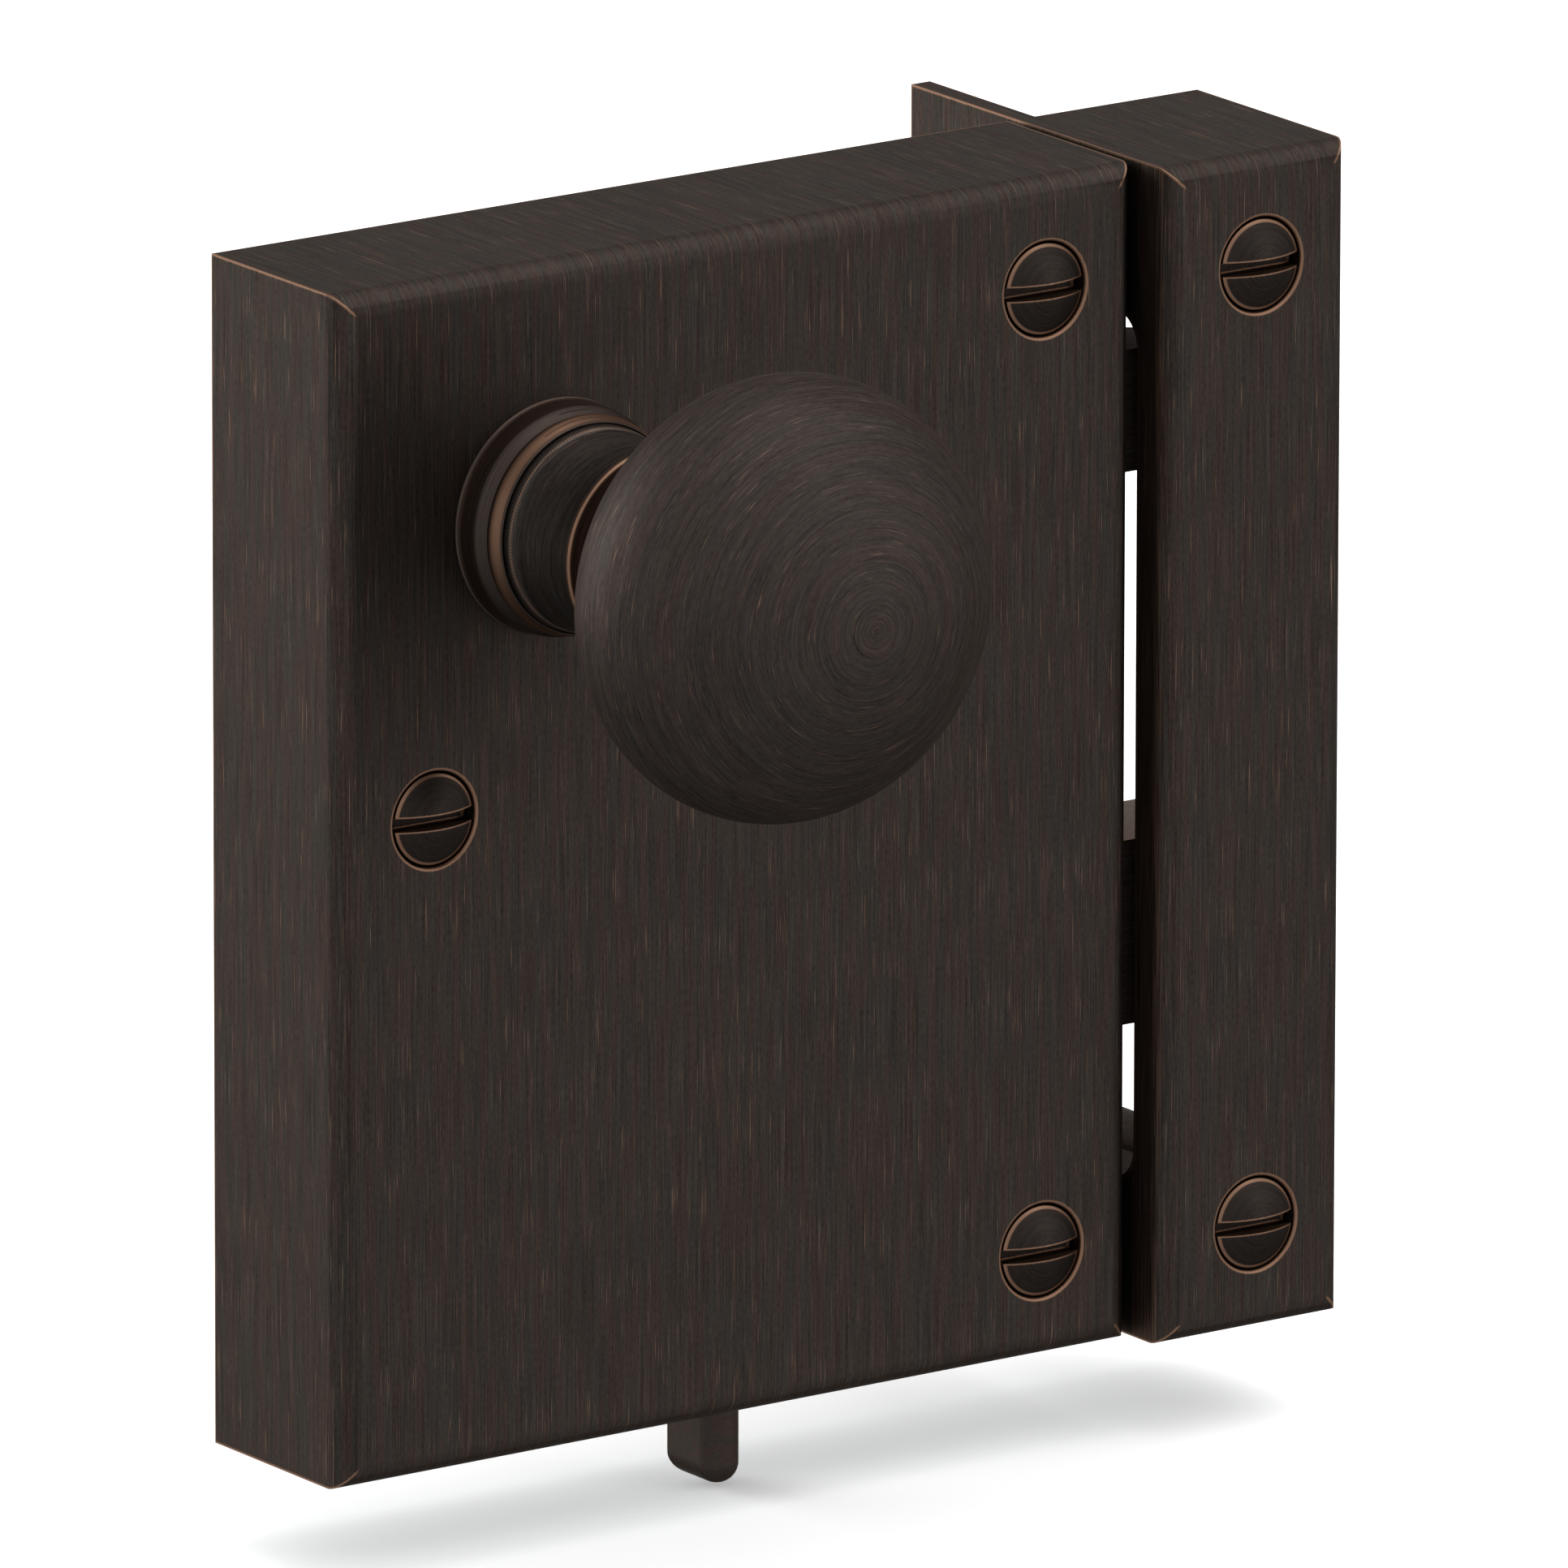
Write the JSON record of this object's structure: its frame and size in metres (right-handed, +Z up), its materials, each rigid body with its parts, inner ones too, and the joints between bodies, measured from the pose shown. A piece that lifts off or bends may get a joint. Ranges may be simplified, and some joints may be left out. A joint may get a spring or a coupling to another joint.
{
  "type": "toggle bolt latch",
  "caption": "Surface-mounted rim lock with a knob-turned spring latch, a dead bolt thrown by a thumb toggle below the case, and a box keeper with a jamb flange.",
  "frame": {"origin": "centre of the lock case's back face, which lies on the door", "axes": "+X from the case towards the keeper, +Y into the door, +Z up"},
  "size_m": [0.1184, 0.0944, 0.1305],
  "materials": {
    "oil_rubbed_bronze": "brushed dark bronze, worn copper at the edges",
    "bronze_screw": "turned dark bronze, copper slot and rim edges",
    "plate_steel": "plain mill finish",
    "spring_steel": "drawn wire and strip"
  },
  "bodies": {
    "lock": {"lock_case": "oil_rubbed_bronze", "back_plate": "plate_steel", "back_screw_1": "plate_steel", "back_screw_2": "plate_steel", "back_screw_3": "plate_steel", "case_screw_top": "bronze_screw", "case_screw_left": "bronze_screw", "case_screw_bottom": "bronze_screw", "rosette": "oil_rubbed_bronze", "latch_spring": "spring_steel", "spring_stop": "plate_steel", "latch_stud": "plate_steel", "bolt_stud": "plate_steel", "spring_block": "plate_steel", "friction_leaf": "spring_steel", "leaf_screw": "plate_steel", "keeper": "oil_rubbed_bronze", "keeper_liner": "plate_steel", "keeper_screw_top": "bronze_screw", "keeper_screw_bottom": "bronze_screw", "liner_screw_top": "plate_steel", "liner_screw_bottom": "plate_steel", "flange_screw_top": "bronze_screw", "flange_screw_bottom": "bronze_screw"},
    "knob": {"knob": "oil_rubbed_bronze", "knob_neck": "oil_rubbed_bronze", "knob_set_screw": "plate_steel", "spindle": "plate_steel", "hub": "plate_steel"},
    "latch": {"latch_bolt": "oil_rubbed_bronze"},
    "dead_bolt": {"dead_bolt": "oil_rubbed_bronze", "toggle": "oil_rubbed_bronze", "toggle_pin": "plate_steel"}
  },
  "joints": [
    {"name": "knob_turn", "type": "hinge", "parent": "lock", "child": "knob", "pos_m": [-0.0221, 0, 0.0349], "axis": [0, -1, 0], "range_deg": [0, 50]},
    {"name": "latch_slide", "type": "slide", "parent": "lock", "child": "latch", "axis": [-1, 0, 0], "range_m": [0, 0.0152], "stiffness_N_per_m": 200, "springref_m": -0.015, "deforming": ["latch_spring"]},
    {"name": "dead_bolt_slide", "type": "slide", "parent": "lock", "child": "dead_bolt", "axis": [-1, 0, 0], "range_m": [0, 0.0154]}
  ],
  "couplings": [
    {"joint": "latch_slide", "follows": "knob_turn", "m_per_rad": 0.017418}
  ]
}
